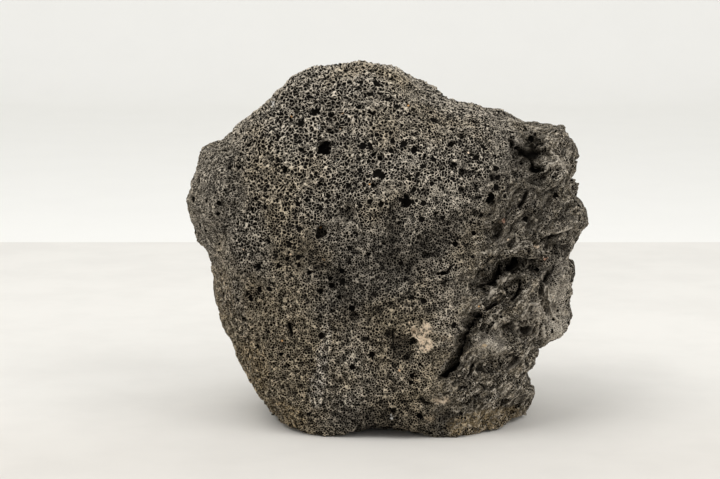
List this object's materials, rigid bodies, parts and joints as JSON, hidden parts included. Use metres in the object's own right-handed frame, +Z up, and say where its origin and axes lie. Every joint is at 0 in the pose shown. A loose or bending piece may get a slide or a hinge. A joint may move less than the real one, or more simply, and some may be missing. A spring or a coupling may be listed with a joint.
{
  "type": "lava rock",
  "caption": "Free-standing lump of dark vesicular basalt with a broad porous front, a torn right side with fissures and lobes, and a flat-bottomed base to rest on.",
  "frame": {"origin": "On the resting plane, under the middle of the rock's box.", "axes": "+Z up, +X to the right along the longest extent as the broad porous face is seen, +Y from that face to the back."},
  "size_m": [0.1942, 0.1406, 0.1714],
  "materials": {
    "basalt": "matte, open-pored, dusty dark grey-brown"
  },
  "bodies": {
    "root": {"lava_rock": "basalt"}
  },
  "joints": []
}
